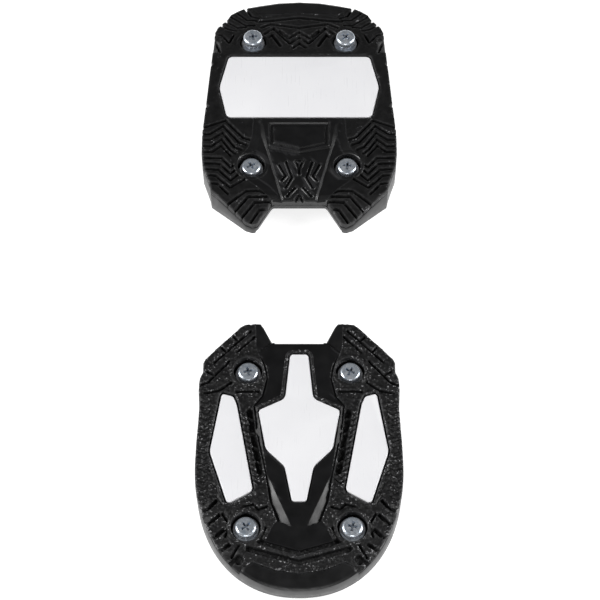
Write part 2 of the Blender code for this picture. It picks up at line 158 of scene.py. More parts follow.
# ---- a closed piece from a height function, its grid snapped to the edges that matter --------------
def terrain(name, dom, h, region, snaps, top, bottom, rings=()):
    """rings: (share of the way down, outward shift) of extra loops along the wall."""
    xs = np.arange(dom[0], dom[1] + h, h)
    ys = np.arange(dom[2], dom[3] + h, h)
    nx, ny = len(xs), len(ys)
    X, Y = np.meshgrid(xs, ys)
    P = np.stack([X.ravel(), Y.ravel()], 1)
    D = region(P)
    used = np.zeros(len(P), bool)
    near = np.abs(D) <= 0.5 * h
    for _ in range(3):
        P[near] -= region(P[near])[:, None] * grad(region, P[near])
    used |= near
    D[near] = 0.0
    live = D < 2 * h
    for f in snaps:
        idx = np.where(live & ~used)[0]
        v = f(P[idx])
        m = np.abs(v) < 0.42 * h
        j = idx[m]
        for _ in range(2):
            P[j] -= f(P[j])[:, None] * grad(f, P[j])
        ok = region(P[j]) < -0.05 * h
        used[j[ok]] = True
        P[j[~ok]] = np.stack([X.ravel(), Y.ravel()], 1)[j[~ok]]
    keep = D <= 1e-6
    zt = np.zeros(len(P))
    zt[keep] = top(P[keep])
    ii, jj = np.meshgrid(np.arange(ny - 1), np.arange(nx - 1), indexing="ij")
    a = (ii * nx + jj).ravel()
    b, c, d = a + 1, a + nx + 1, a + nx
    cnt = keep[a].astype(int) + keep[b] + keep[c] + keep[d]
    sel = cnt >= 3
    a, b, c, d = a[sel], b[sel], c[sel], d[sel]
    # split each square along the diagonal that joins kept points and follows the surface
    use_ac = np.abs(zt[a] - zt[c]) <= np.abs(zt[b] - zt[d])
    use_ac = np.where(~keep[b] | ~keep[d], True, use_ac)
    use_ac = np.where(~keep[a] | ~keep[c], False, use_ac)
    t1 = np.where(use_ac[:, None], np.stack([a, b, c], 1), np.stack([a, b, d], 1))
    t2 = np.where(use_ac[:, None], np.stack([a, c, d], 1), np.stack([b, c, d], 1))
    T = np.concatenate([t1, t2])
    T = T[keep[T].all(1)]
    p, q, r = P[T[:, 0]], P[T[:, 1]], P[T[:, 2]]
    ar = (q[:, 0] - p[:, 0]) * (r[:, 1] - p[:, 1]) - (q[:, 1] - p[:, 1]) * (r[:, 0] - p[:, 0])
    mid = (p + q + r) / 3
    T = T[(ar > 1e-5) & (region(mid) < 0.02)]
    # only the largest connected body stays
    T = largest(T, len(P))
    ids = np.unique(T)
    remap = -np.ones(len(P), int)
    remap[ids] = np.arange(len(ids))
    T = remap[T]
    Q, zt = P[ids], zt[ids]
    zb = bottom(Q)
    n = len(ids)
    E = np.concatenate([T[:, [0, 1]], T[:, [1, 2]], T[:, [2, 0]]])
    key = np.sort(E, 1)
    _, inv, c2 = np.unique(key[:, 0] * n + key[:, 1], return_inverse=True, return_counts=True)
    B = E[c2[inv] == 1]
    verts = [np.column_stack([Q, zt])]
    faces = [T]
    rim = np.unique(B)
    g = np.zeros((n, 2))
    g[rim] = grad(region, Q[rim])
    loops = [np.arange(n)]
    base = n
    for share, out in rings:
        m = -np.ones(n, int)
        m[rim] = base + np.arange(len(rim))
        zz = zt[rim] + (zb[rim] - zt[rim]) * share
        verts.append(np.column_stack([Q[rim] + g[rim] * out, zz]))
        base += len(rim)
        loops.append(m)
    low = base + np.arange(n)
    last_out = rings[-1][1] if rings else 0.0
    verts.append(np.column_stack([Q + g * last_out * (g != 0).any(1)[:, None], zb]))
    faces.append(low[T][:, ::-1])
    loops.append(low)
    for u, v in zip(loops, loops[1:]):
        faces.append(np.column_stack([u[B[:, 1]], u[B[:, 0]], v[B[:, 0]]]))
        faces.append(np.column_stack([u[B[:, 1]], v[B[:, 0]], v[B[:, 1]]]))
    V = np.concatenate(verts)
    F = np.concatenate(faces)
    V[:, 1] += Y0
    return mesh(name, V * MM, F)


def largest(T, n):
    """Triangles of the largest body joined edge to edge."""
    label = np.arange(n)
    while True:
        m = label[T].min(1)
        new = label.copy()
        for k in range(3):
            np.minimum.at(new, T[:, k], m)
        new = new[new]
        if (new == label).all():
            break
        label = new
    tl = label[T[:, 0]]
    vals, cts = np.unique(tl, return_counts=True)
    return T[tl == vals[cts.argmax()]]


def mesh(name, V, F, angle=32.0):
    me = bpy.data.meshes.new(name)
    me.vertices.add(len(V))
    me.vertices.foreach_set("co", np.asarray(V, np.float32).ravel())
    F = np.asarray(F)
    me.loops.add(F.size)
    me.loops.foreach_set("vertex_index", F.ravel().astype(np.int32))
    me.polygons.add(len(F))
    me.polygons.foreach_set("loop_start", (np.arange(len(F)) * F.shape[1]).astype(np.int32))
    me.polygons.foreach_set("loop_total", np.full(len(F), F.shape[1], np.int32))
    me.update(calc_edges=True)
    me.validate()
    me.shade_smooth()
    me.set_sharp_from_angle(angle=math.radians(angle))
    ob = bpy.data.objects.new(name, me)
    bpy.context.scene.collection.objects.link(ob)
    return ob


# ---- materials -----------------------------------------------------------------------------------
def new_mat(name, rough, metal=0.0):
    m = bpy.data.materials.new(name)
    m.use_nodes = True
    nt = m.node_tree
    b = nt.nodes["Principled BSDF"]
    b.inputs["Roughness"].default_value = rough
    b.inputs["Metallic"].default_value = metal
    return m, nt, b


def node(nt, kind, **kw):
    nd = nt.nodes.new(kind)
    for k, v in kw.items():
        setattr(nd, k, v)
    return nd


def noise(nt, co, scale, detail=3.0, rough=0.5):
    nd = node(nt, "ShaderNodeTexNoise")
    nd.inputs["Scale"].default_value = scale
    nd.inputs["Detail"].default_value = detail
    nd.inputs["Roughness"].default_value = rough
    nt.links.new(co, nd.inputs["Vector"])
    return nd.outputs["Fac"]


def ramp_node(nt, src, stops):
    nd = node(nt, "ShaderNodeValToRGB")
    el = nd.color_ramp.elements
    while len(el) < len(stops):
        el.new(0.5)
    for e, (pos, col) in zip(el, stops):
        e.position = pos
        e.color = (col, col, col, 1) if isinstance(col, float) else (*col, 1)
    nt.links.new(src, nd.inputs["Fac"])
    return nd.outputs["Color"]


def mix(nt, fac, a, b):
    nd = node(nt, "ShaderNodeMix", data_type="RGBA")
    if isinstance(fac, float):
        nd.inputs[0].default_value = fac
    else:
        nt.links.new(fac, nd.inputs[0])
    for sock, v in ((nd.inputs[6], a), (nd.inputs[7], b)):
        if isinstance(v, tuple):
            sock.default_value = (*v, 1)
        else:
            nt.links.new(v, sock)
    return nd.outputs[2]


def bump(nt, bsdf, height, strength, dist):
    nd = node(nt, "ShaderNodeBump")
    nd.inputs["Strength"].default_value = strength
    nd.inputs["Distance"].default_value = dist
    nt.links.new(height, nd.inputs["Height"])
    nt.links.new(nd.outputs["Normal"], bsdf.inputs["Normal"])


def coords(nt):
    return node(nt, "ShaderNodeTexCoord").outputs["Object"]


def pointy(nt, lo, hi):
    """0 at lo and 1 at hi; lo above hi picks hollows."""
    g = node(nt, "ShaderNodeNewGeometry")
    stops = [(lo, 0.0), (hi, 1.0)] if lo < hi else [(hi, 1.0), (lo, 0.0)]
    return ramp_node(nt, g.outputs["Pointiness"], stops)


def carrier_material(name, spec):
    m, nt, b = new_mat(name, 0.42)
    b.inputs["Specular IOR Level"].default_value = spec
    co = coords(nt)
    tone = ramp_node(nt, noise(nt, co, 60.0), [(0.3, (0.0026, 0.0026, 0.0029)), (0.7, (0.0042, 0.0042, 0.0046))])
    # painted highlight: convex edges get a lighter colour where light would catch them
    col = mix(nt, pointy(nt, 0.52, 0.60), tone, (0.016, 0.016, 0.017))
    nt.links.new(col, b.inputs["Base Color"])
    rg = ramp_node(nt, noise(nt, co, 240.0, 4.0), [(0.3, 0.31), (0.7, 0.43)])
    nt.links.new(rg, b.inputs["Roughness"])
    bump(nt, b, noise(nt, co, 2600.0, 2.0), 0.10, 0.00006)
    return m


def rubber_material(name, speck, grain_amount, tone_lo, tone_hi, top_highlight_tone):
    """speck: share of the surface that holds the painted glints; the tone after tone_hi is the colour of the painted
    highlight on the convex tops.
    """
    m, nt, b = new_mat(name, 0.55)
    b.inputs["Specular IOR Level"].default_value = 0.30
    co = coords(nt)
    tone = ramp_node(nt, noise(nt, co, 180.0, 4.0), [(0.3, (tone_lo, tone_lo, tone_lo * 1.08)),
                                                    (0.7, (tone_hi, tone_hi, tone_hi * 1.05))])
    pick = ramp_node(nt, noise(nt, co, 330.0, 2.0), [(1.0 - speck - 0.04, 0.0), (1.0 - speck + 0.06, 1.0)])
    tops = pointy(nt, 0.512, 0.560)
    pits = pointy(nt, 0.488, 0.455)
    # painted highlight: the convex tops get a lighter colour
    col = mix(nt, tops, tone, (top_highlight_tone, top_highlight_tone, top_highlight_tone * 1.04))
    # painted shade: the concave hollows are darkened to near black
    col = mix(nt, pits, col, (0.0012, 0.0012, 0.0013))
    # painted glints: small bright flecks, gathered in drifts, mostly on the convex tops where light catches
    fine = ramp_node(nt, noise(nt, co, 1700.0, 1.5), [(0.575, 0.0), (0.675, 1.0)])
    mul = node(nt, "ShaderNodeMath", operation="MULTIPLY")
    nt.links.new(fine, mul.inputs[0])
    nt.links.new(pick, mul.inputs[1])
    painted_glints = node(nt, "ShaderNodeMath", operation="MULTIPLY")
    nt.links.new(pointy(nt, 0.500, 0.530), painted_glints.inputs[0])
    nt.links.new(mul.outputs[0], painted_glints.inputs[1])
    col = mix(nt, painted_glints.outputs[0], col, (0.34, 0.34, 0.35))
    nt.links.new(col, b.inputs["Base Color"])
    rg = ramp_node(nt, noise(nt, co, 400.0, 3.0), [(0.3, 0.42), (0.7, 0.62)])
    nt.links.new(rg, b.inputs["Roughness"])
    add = node(nt, "ShaderNodeMath", operation="ADD")
    nt.links.new(noise(nt, co, 1500.0, 4.0, 0.65), add.inputs[0])
    nt.links.new(painted_glints.outputs[0], add.inputs[1])
    bump(nt, b, add.outputs[0], grain_amount, 0.00012)
    return m


def plate_material():
    m, nt, b = new_mat("slide_plate_white", 0.30)
    co = coords(nt)
    col = ramp_node(nt, noise(nt, co, 45.0, 4.0), [(0.25, (0.755, 0.755, 0.775)), (0.75, (0.80, 0.80, 0.815))])
    # painted highlight: convex bevel edges get a lighter colour
    col = mix(nt, pointy(nt, 0.53, 0.62), col, (0.86, 0.86, 0.87))
    nt.links.new(col, b.inputs["Base Color"])
    st = node(nt, "ShaderNodeMapping")
    st.inputs["Scale"].default_value = (1.0, 0.06, 1.0)
    nt.links.new(co, st.inputs["Vector"])
    fine = noise(nt, st.outputs["Vector"], 1800.0, 3.0)
    rg = ramp_node(nt, fine, [(0.3, 0.26), (0.7, 0.38)])
    nt.links.new(rg, b.inputs["Roughness"])
    bump(nt, b, fine, 0.06, 0.00004)
    return m


def zinc_material(name, metal, lo, hi, r_lo, r_hi):
    m, nt, b = new_mat(name, r_lo, metal)
    co = coords(nt)
    col = ramp_node(nt, noise(nt, co, 700.0, 4.0), [(0.30, lo), (0.70, hi)])
    # painted highlight: convex edges are lightened to near white
    col = mix(nt, pointy(nt, 0.52, 0.60), col, (0.90, 0.92, 0.96))
    # painted shade: hollows such as the cross recess and thread roots are darkened
    col = mix(nt, pointy(nt, 0.46, 0.40), col, (0.10, 0.11, 0.13))
    nt.links.new(col, b.inputs["Base Color"])
    rg = ramp_node(nt, noise(nt, co, 1100.0, 3.0), [(0.3, r_lo), (0.7, r_hi)])
    nt.links.new(rg, b.inputs["Roughness"])
    bump(nt, b, noise(nt, co, 900.0, 3.0), 0.45, 0.00010)
    return m


M_CARRIER, M_KEEL, M_PLATE = carrier_material("carrier_plastic", 0.50), carrier_material("keel_plastic", 0.38), plate_material()
M_ZINC = zinc_material("zinc_screw", 0.80, (0.46, 0.53, 0.61), (0.80, 0.84, 0.90), 0.20, 0.36)
M_WASHER = zinc_material("zinc_washer", 1.0, (0.36, 0.38, 0.41), (0.52, 0.54, 0.57), 0.26, 0.40)
M_TOE_RUBBER = rubber_material("tread_rubber_toe", 0.50, 0.55, 0.0022, 0.0052, 0.024)
M_HEEL_RUBBER = rubber_material("tread_rubber_heel", 0.36, 0.22, 0.0024, 0.0040, 0.017)


def dress(ob, mat, body, slot, *nodes):
    ob.data.materials.clear()
    ob.data.materials.append(mat)
    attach(ob, body)
    if nodes:
        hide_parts(*nodes)
    return ob


def grain(P, cell, seed=0):
    """Smooth lumps about cell mm across, from -1 to 1, the same on every run."""
    q = P / cell + 1000.0
    i = np.floor(q).astype(np.int64)
    f = q - i
    f = f * f * (3 - 2 * f)

    def at(dx, dy):
        h = ((i[:, 0] + dx) * 374761393 + (i[:, 1] + dy) * 668265263 + seed * 974711) & 0x7FFFFFFF
        h = ((h ^ (h >> 13)) * 1274126177) & 0x7FFFFFFF
        return (h ^ (h >> 16)) % 2048 / 1023.5 - 1.0
    return ((at(0, 0) * (1 - f[:, 0]) + at(1, 0) * f[:, 0]) * (1 - f[:, 1])
            + (at(0, 1) * (1 - f[:, 0]) + at(1, 1) * f[:, 0]) * f[:, 1])


# ---- carriers ------------------------------------------------------------------------------------
def boot_side(P, top, out, open_arch, relief_y, arch, screws, ribs):
    """Underside: skirt, web, ribs and bosses."""
    y = P[:, 1]
    rise = np.clip((y - relief_y) * arch, 0, None) * 0.24
    web = top(y) - WEB
    inner = sd(P, out) < -SKIRT
    inner |= open_arch(P)
    z = np.where(inner, web, 0.0)
    for x0, x1, ya, yb in ribs:
        m = (P[:, 0] > x0) & (P[:, 0] < x1) & (y > ya) & (y < yb) & inner
        z = np.where(m, 1.0, z)
    for sx, sy, _ in screws:
        z = np.where((np.hypot(P[:, 0] - sx, y - sy) < 6.5) & inner, 5.5, z)
    return np.maximum(z, np.minimum(rise, web))


def nearest(P, screws):
    return np.min([np.hypot(P[:, 0] - x, P[:, 1] - y) for x, y, _ in screws], axis=0)


def carrier(name, dom, out, top_f, screws, bumper, bump_top, under):
    """Body below the tread, at full height only at the bumper."""
    def region(P):
        return np.maximum(sd(P, out), 2.5 - nearest(P, screws))

    def top(P):
        t = top_f(P[:, 1])
        z = t - SEAT_DEPTH
        bb = sd(P, bumper)
        z = np.where(bb < 0, bump_top(P, t, bb), z)
        for x, sy, seat in screws:
            z = np.where(np.hypot(P[:, 0] - x, P[:, 1] - sy) < 4.99, np.minimum(z, seat), z)
        return z - 0.40 * ramp(sd(P, out), -0.8, 0.0)
    snaps = [lambda P: nearest(P, screws) - 5.0, lambda P: sd(P, bumper), lambda P: sd(P, out) + 0.8]
    return terrain(name, dom, 0.45, region, snaps, top, under, [(0.10, 0.14), (0.5, 0.05), (0.94, 0.0), (1.0, -0.25)])


def toe_under(P):
    return boot_side(P, toe_top, TOE_OUT, lambda Q: (Q[:, 1] > -37.0) & (np.abs(Q[:, 0]) < 13.5), -38.0, 1,
                     TOE_SCREWS, [(-1, 1, -125, -37), (-40, 40, -57, -55), (-40, 40, -79, -77)])


def heel_under(P):
    return boot_side(P, heel_top, HEEL_OUT, lambda Q: (Q[:, 1] < 33.0) & (np.abs(Q[:, 0]) < 15.5), 34.2, -1,
                     HEEL_SCREWS, [(-1, 1, 34, 130), (-40, 40, 61, 63), (-40, 40, 84, 86)])


def toe_bumper_top(P, t, bb):
    # smooth lens, its crown level with the tread and its front lip rounded
    return t - 0.15 + 0.30 * ramp(-bb, 0.0, 1.2)


def heel_bumper_top(P, t, bb):
    # a raised lip along the rear, a shallow trough and a second ridge in front of it
    x, y = np.abs(P[:, 0]), P[:, 1]
    lip = 116.4 - 0.075 * x - y
    return t - 0.55 + 0.65 * ramp(-lip, -0.3, 0.5) + 0.35 * (1 - ramp(np.abs(lip - 2.1), 0.2, 0.7))


def centre(name, dom, h, out, zone, screws, pocket, top, snaps, depth=2.6, top_f=None):
    """The smooth middle of a pad, from edge to edge of its zone."""
    def region(P):
        d = np.maximum(sd(P, zone), sd(P, out) + 0.03)
        d = np.maximum(d, 5.0 - nearest(P, screws))
        if pocket is not None:
            d = np.maximum(d, GAP + 0.15 - sd(P, pocket))
        return d
    return terrain(name, dom, h, region, snaps, top, lambda P: top_f(P[:, 1]) - depth, [(0.97, 0.0)])


# toe: keel with a chamfer down each side that widens into a facet and ends in a wall
KEEL_TOP = mirror([(15.4, -18.0), (15.2, -33.0), (11.2, -40.0), (10.4, -44.6), (11.6, -51.4), (14.2, -55.4),
                   (12.9, -66.0), (10.7, -80.7), (2.4, -99.4), (0.6, -103.6)])
TOE_END = mirror([(0.0, -99.4), (2.4, -99.4), (7.6, -97.0), (14.0, -93.6), (14.0, -112.0), (0.0, -112.0)])


def toe_centre_top(P):
    x, y = np.abs(P[:, 0]), P[:, 1]
    t = toe_top(y)
    k = sd(P, KEEL_TOP)
    foot = -sd(P, TOE_ZONE)
    share = np.where(k <= 0, 0.0, k / np.maximum(k + np.maximum(foot, 0), 1e-6))
    z = t - (1.1 + 0.7 * lin(-y, 78.0, 95.0)) * share
    z = np.where(sd(P, TOE_END) < 0, t - 0.05, z)
    # smooth facet on the inner half of each horn, dipping towards the notch
    horn = lin(-x, -15.4, -9.4) * lin(y, -40.0, -36.0)
    edge = lin(y + 0.95 * (x - 9.4), -31.2, -30.2) * (x > 8.9)
    z = z - np.where(y > -40.0, 1.5 * horn * np.maximum(edge, 0.0), 0.0)
    return z - 0.30 * ramp(sd(P, TOE_OUT), -0.6, 0.0)


RIM_OUT = 1.75


def toe_rim_top(P):
    c = sd(P, TOE_CENTRE)
    t = toe_top(P[:, 1])
    z = t + 0.16 - 0.30 * ramp(np.abs(c - 1.1), 0.30, 0.62)
    return z + 0.07 * grain(P, 0.75, 3) + 0.05 * grain(P, 0.42, 4)


# heel: keel panel with nested chevrons meeting at a wedge, and a plain framed panel behind
HEEL_KEEL_TOP = mirror([(13.9, 66.0), (13.4, 62.0), (11.3, 49.6), (4.7, 24.0)])
HEEL_KEEL_FOOT = mirror([(16.9, 66.0), (16.0, 62.0), (12.0, 49.6), (5.4, 24.0)])
PANEL = mirror([(10.9, 61.4), (10.5, 51.7), (0.0, 49.1)])
KEEL_CUTS = ml([[(7.3, 42.8), (4.9, 38.0), (6.4, 36.1)], [(4.7, 44.0), (2.6, 37.4), (4.9, 32.9)],
                [(1.5, 32.8), (4.3, 29.3)]])
KEEL_CUTS += [[(-1.4, 27.2), (0.0, 29.8), (1.4, 27.2)], [(-1.2, 44.5), (0.0, 41.2), (1.2, 44.5), (-1.2, 44.5)],
              [(0.0, 41.2), (0.0, 38.9)]]
PANEL_LINES = [[(-11.2, 50.2), (0.0, 48.0), (11.2, 50.2)]]


def heel_centre_top(P):
    y = P[:, 1]
    t = heel_top(y)
    k, f = sd(P, HEEL_KEEL_TOP), sd(P, HEEL_KEEL_FOOT)
    share = np.where(k <= 0, 0.0, np.where(f < 0, k / np.maximum(k - f, 1e-6), 1.0))
    z = t - 0.70 * share * np.where(k > 0, lin(-sd(P, HEEL_ZONE), 0.0, 3.2), 1.0)
    g = dl(P, KEEL_CUTS)
    z = z + np.where(k < -0.3, 0.22 * (1 - ramp(np.abs(g - 0.62), 0.12, 0.40)) * (y < 46), 0.0)
    z = np.where(k < -0.2, z - 0.75 * (1 - ramp(g, 0.14, 0.46)), z)
    pl = sd(P, PANEL)
    z = z - 0.55 * ramp(-pl, 0.0, 0.35) * (k < 0)
    z = z + 0.42 * ramp(-pl, 1.1, 1.5) * (k < 0)
    z = z + 0.22 * (1 - ramp(np.abs(pl - 0.30), 0.10, 0.42)) * (k < -0.2)
    z = z - 0.30 * (1 - ramp(dl(P, PANEL_LINES), 0.15, 0.50)) * (k < -0.1)
    z = z + 0.16 * (1 - ramp(np.abs(nearest(P, HEEL_SCREWS) - 5.7), 0.35, 0.75))
    return z - 0.35 * ramp(sd(P, HEEL_OUT), -0.7, 0.0)


# ---- treads --------------------------------------------------------------------------------------
# toe: bars along each horn, lug rows round the nose, blocks down the outer band, V rows before the bumper
TOE_WIDE = ml([[(16.8, -26.0), (29.0, -38.6)], [(15.4, -28.4), (21.4, -34.6)],
               [(21.4, -29.8), (22.6, -28.6)], [(25.4, -34.2), (26.6, -33.0)],
               [(24.0, -38.2), (31.2, -46.4), (36.0, -48.4)], [(23.2, -46.4), (27.4, -49.6), (32.2, -50.6)],
               [(29.4, -43.4), (31.4, -42.2)], [(12.6, -44.2), (10.4, -41.6)], [(13.6, -49.8), (21.4, -50.0)],
               [(25.2, -95.0), (23.0, -98.4), (24.2, -102.4)],
               [(10.6, -92.4), (13.4, -93.4), (15.2, -91.6), (18.4, -92.4)],
               [(14.8, -103.4), (19.2, -104.6), (22.0, -108.8)], [(11.0, -99.6), (12.8, -103.0)]])
TOE_BROAD = [[(-14.6, -103.2), (-10.6, -104.6), (0.0, -107.6), (10.6, -104.6), (14.6, -103.2)],
             [(-16.6, -106.4), (0.0, -110.6), (16.6, -106.4)]]
TOE_BOLD = ml([[(27.4, -90.4), (30.2, -93.6), (37.0, -92.4)], [(26.4, -95.4), (29.4, -98.2), (36.4, -97.6)],
               [(24.8, -100.4), (27.4, -102.6), (34.6, -103.0)], [(22.8, -105.2), (25.2, -106.6), (31.6, -108.6)],
               [(20.4, -109.2), (22.2, -110.4), (28.0, -114.4)]])
TOE_FINE = ml(repeat([(29.9, -53.0), (31.4, -54.2), (36.0, -52.2)], 18, 0.02, -2.1)
              + repeat([(16.9, -57.2), (18.6, -58.8), (20.8, -57.4)], 13, -0.42, -2.1)
              + [[(30.4, -78.8), (28.8, -80.4)], [(29.2, -83.6), (27.3, -85.6)], [(27.6, -88.0), (25.6, -91.4)]])
# dark ribbed recess between each side plate's band and the keel
TOE_PIT = ml([[(16.7, -57.8), (15.5, -65.0), (14.4, -72.4), (13.0, -79.6)]])
TOE_RUNGS = ml(repeat([(13.0, -60.8), (18.0, -59.2)], 4, -0.6, -5.3))
HEEL_WIDE = ml([[(18.2, 54.1), (20.6, 54.9), (27.2, 62.6), (36.5, 58.9)],
                [(19.4, 51.8), (22.0, 52.9), (28.0, 60.2), (32.9, 56.6), (37.5, 56.6)],
                [(21.2, 49.6), (23.7, 50.9), (28.2, 57.2), (32.6, 54.0), (37.5, 54.0)],
                [(23.4, 48.0), (25.4, 49.6), (28.5, 54.3), (32.2, 51.2), (37.5, 51.4)],
                [(25.0, 47.0), (28.6, 51.4), (32.0, 48.6), (37.5, 48.8)],
                [(24.0, 42.6), (25.0, 42.0), (28.4, 46.0), (31.6, 46.0), (37.5, 46.2)],
                [(23.3, 40.6), (25.0, 39.2), (28.8, 43.3), (31.6, 43.6), (37.5, 43.7)],
                [(22.2, 38.8), (24.9, 36.2), (29.4, 40.8), (33.7, 41.2), (37.5, 41.2)],
                [(19.1, 37.2), (25.0, 33.1), (30.3, 38.2), (34.3, 38.6), (37.5, 38.6)],
                [(25.8, 30.4), (29.5, 34.6), (31.8, 35.0), (36.0, 35.4)],
                [(25.8, 26.4), (19.1, 31.5), (14.4, 31.7), (12.6, 30.8)],
                [(23.4, 23.6), (18.4, 29.2), (11.2, 29.4)],
                [(20.7, 21.6), (16.0, 27.2), (10.0, 27.4)],
                [(17.4, 20.0), (14.3, 24.4), (11.0, 24.9)],
                [(29.9, 94.4), (31.6, 101.0), (34.0, 103.4)],
                [(34.0, 105.0), (29.4, 104.0), (26.6, 99.8), (25.0, 104.0)],
                [(30.6, 110.4), (26.8, 107.4), (24.0, 106.6)], [(28.6, 112.6), (23.6, 108.4), (20.4, 108.6)],
                [(26.0, 114.4), (20.2, 109.6), (17.0, 109.8)], [(23.6, 116.6), (19.8, 112.6), (16.2, 112.6)],
                [(20.6, 119.2), (18.4, 115.0), (15.6, 113.8)],
                [(36.0, 90.4), (33.0, 88.4)], [(36.0, 70.4), (34.0, 69.0)]])
HEEL_BROAD = [[(-14.2, 104.2), (-9.9, 108.2), (-3.6, 99.6), (0.0, 103.0), (3.6, 99.6), (9.9, 108.2), (14.2, 104.2)],
              [(-12.6, 102.0), (-10.4, 104.4), (-7.2, 98.2)], [(12.6, 102.0), (10.4, 104.4), (7.2, 98.2)],
              [(-7.4, 106.6), (-4.0, 102.6), (0.0, 106.0), (4.0, 102.6), (7.4, 106.6)],
              [(-2.4, 97.2), (0.0, 99.6), (2.4, 97.2)],
              [(-14.6, 108.6), (-11.0, 110.6), (0.0, 108.4), (11.0, 110.6), (14.6, 108.6)],
              [(-16.2, 112.0), (-11.2, 112.4), (0.0, 114.2), (11.2, 112.4), (16.2, 112.0)]]


def tread(name, dom, h, out, top_f, zones, pockets, gap, screws, wide, broad, bold, fine, pits, rungs, holes,
          facets, rough, depth, notch_y, broad_w):
    def outer(P):
        # grooves that reach the outer edge notch it, which leaves the lugs standing out
        d = sd(P, out) + EDGE - 0.1
        near = 0.8 * (1 - ramp(dl(P, wide), 0.25, 0.60))
        if bold:
            near = np.maximum(near, 1.3 * (1 - ramp(dl(P, bold), 0.45, 0.85)))
        return d + near * (d > -2.0) * notch_y(P[:, 1])

    def region(P):
        d = outer(P)
        for z in zones:
            d = np.maximum(d, -0.25 - sd(P, z))
        for p in pockets:
            d = np.maximum(d, gap - sd(P, p))
        return np.maximum(d, 5.0 - nearest(P, screws))

    def top(P):
        t = top_f(P[:, 1])
        r = nearest(P, screws)
        open_field = ramp(r, 6.0, 6.5)
        g = dl(P, wide)
        cut = depth * (1 - ramp(g, 0.14, 0.56))
        soft = 0.16 * (1 - ramp(g, 0.45, 1.05))
        if broad:
            gb = dl(P, broad)
            cut = np.maximum(cut, 1.25 * (1 - ramp(gb, broad_w, broad_w + 0.48)))
            soft = np.maximum(soft, 0.18 * (1 - ramp(gb, broad_w + 0.36, broad_w + 0.96)))
        if bold:
            cut = np.maximum(cut, 1.5 * (1 - ramp(dl(P, bold), 0.38, 0.80)))
        if fine:
            inner = np.where(np.abs(P[:, 0]) < 24.0, 0.55, 0.30)
            cut = np.maximum(cut, inner * (1 - ramp(dl(P, fine), 0.14, 0.46)))
        z = t - (cut + soft) * open_field
        if pits:
            pit = 1.9 * (1 - ramp(dl(P, pits) + 0.25 * grain(P, 1.4, 7), 0.80, 1.30))
            z = np.minimum(z, t - pit * (1 - 0.35 * (1 - ramp(dl(P, rungs), 0.25, 0.7))))
        for hx, hy, hr in holes:
            z = np.minimum(z, t - 2.0 * (1 - ramp(np.hypot(np.abs(P[:, 0]) - hx, P[:, 1] - hy), hr * 0.6, hr)))
        # a smooth collar round each counterbore
        z = z + 0.20 * (1 - ramp(np.abs(r - 5.75), 0.30, 0.65))
        for p in pockets:
            c = sd(P, p)
            z = z + 0.10 * (1 - ramp(np.abs(c - gap - 0.55), 0.25, 0.50))
        if rough:
            z = z + (rough * grain(P, 0.80, 1) + 0.5 * rough * grain(P, 0.42, 2)) * ramp(r, 5.3, 6.5)
        # lugs that slope away to the outer edge
        for ya, yb, reach, drop in facets:
            y = P[:, 1]
            z = z - drop * lin(sd(P, out), -reach, -0.2) * ramp(y, ya, ya + 0.3) * (1 - ramp(y, yb - 0.3, yb))
        e = outer(P)
        for p in pockets:
            e = np.maximum(e, gap - sd(P, p))
        return z - 0.22 * ramp(e, -0.45, 0.0)

    snaps = [lambda P: dl(P, wide) - 0.56]
    return terrain(name, dom, h, region, snaps, top, lambda P: top_f(P[:, 1]) - SEAT_DEPTH + 0.05, [(0.96, 0.0)])


toe_c = carrier("toe_carrier", (-36, 36, -121, -21), TOE_OUT, toe_top, TOE_SCREWS, TOE_BUMPER, toe_bumper_top,
                toe_under)
heel_c = carrier("heel_carrier", (-37, 37, 17, 125), HEEL_OUT, heel_top, HEEL_SCREWS, HEEL_BUMPER,
                 heel_bumper_top, heel_under)
dress(toe_c, M_CARRIER, "toe_pad", "carrier", "toe_base")
dress(heel_c, M_CARRIER, "heel_pad", "carrier", "heel_base")
toe_k = centre("toe_keel", (-17, 17, -109, -20), 0.24, TOE_OUT, TOE_ZONE, TOE_SCREWS, TOE_CENTRE, toe_centre_top,
               [lambda P: sd(P, KEEL_TOP), lambda P: sd(P, TOE_END)], top_f=toe_top)
heel_k = centre("heel_keel", (-24, 24, 16, 65), 0.23, HEEL_OUT, HEEL_ZONE, HEEL_SCREWS, None, heel_centre_top,
                [lambda P: sd(P, HEEL_KEEL_TOP), lambda P: sd(P, HEEL_KEEL_FOOT), lambda P: sd(P, PANEL)],
                top_f=heel_top)
dress(toe_k, M_KEEL, "toe_pad", "carrier")
dress(heel_k, M_CARRIER, "heel_pad", "carrier")
toe_r = terrain("toe_plate_rim", (-17, 17, -95, -33), 0.22,
                lambda P: np.max([sd(P, TOE_CENTRE) - RIM_OUT, GAP + 0.12 - sd(P, TOE_CENTRE),
                                  sd(P, KEEL_TOP) + 0.1], axis=0),
                [], toe_rim_top, lambda P: toe_top(P[:, 1]) - 2.0, [(0.9, 0.0)])
dress(toe_r, M_TOE_RUBBER, "toe_pad", "rubber")
toe_t = tread("toe_tread_rubber", (-36, 36, -121, -21), 0.27, TOE_OUT, toe_top, [TOE_ZONE, TOE_BUMPER],
              [TOE_SIDE, TOE_SIDE_L], 0.60, TOE_SCREWS, TOE_WIDE, TOE_BROAD, TOE_BOLD, TOE_FINE, TOE_PIT, TOE_RUNGS,
              [(19.6, -109.6, 1.7)], [(-94.6, -91.0, 3.4, 1.5), (-99.0, -95.2, 3.0, 1.6), (-116.0, -107.6, 3.6, 1.7)],
              0.17, 1.05, lambda y: lin(-y, 86.0, 90.0), 0.52)
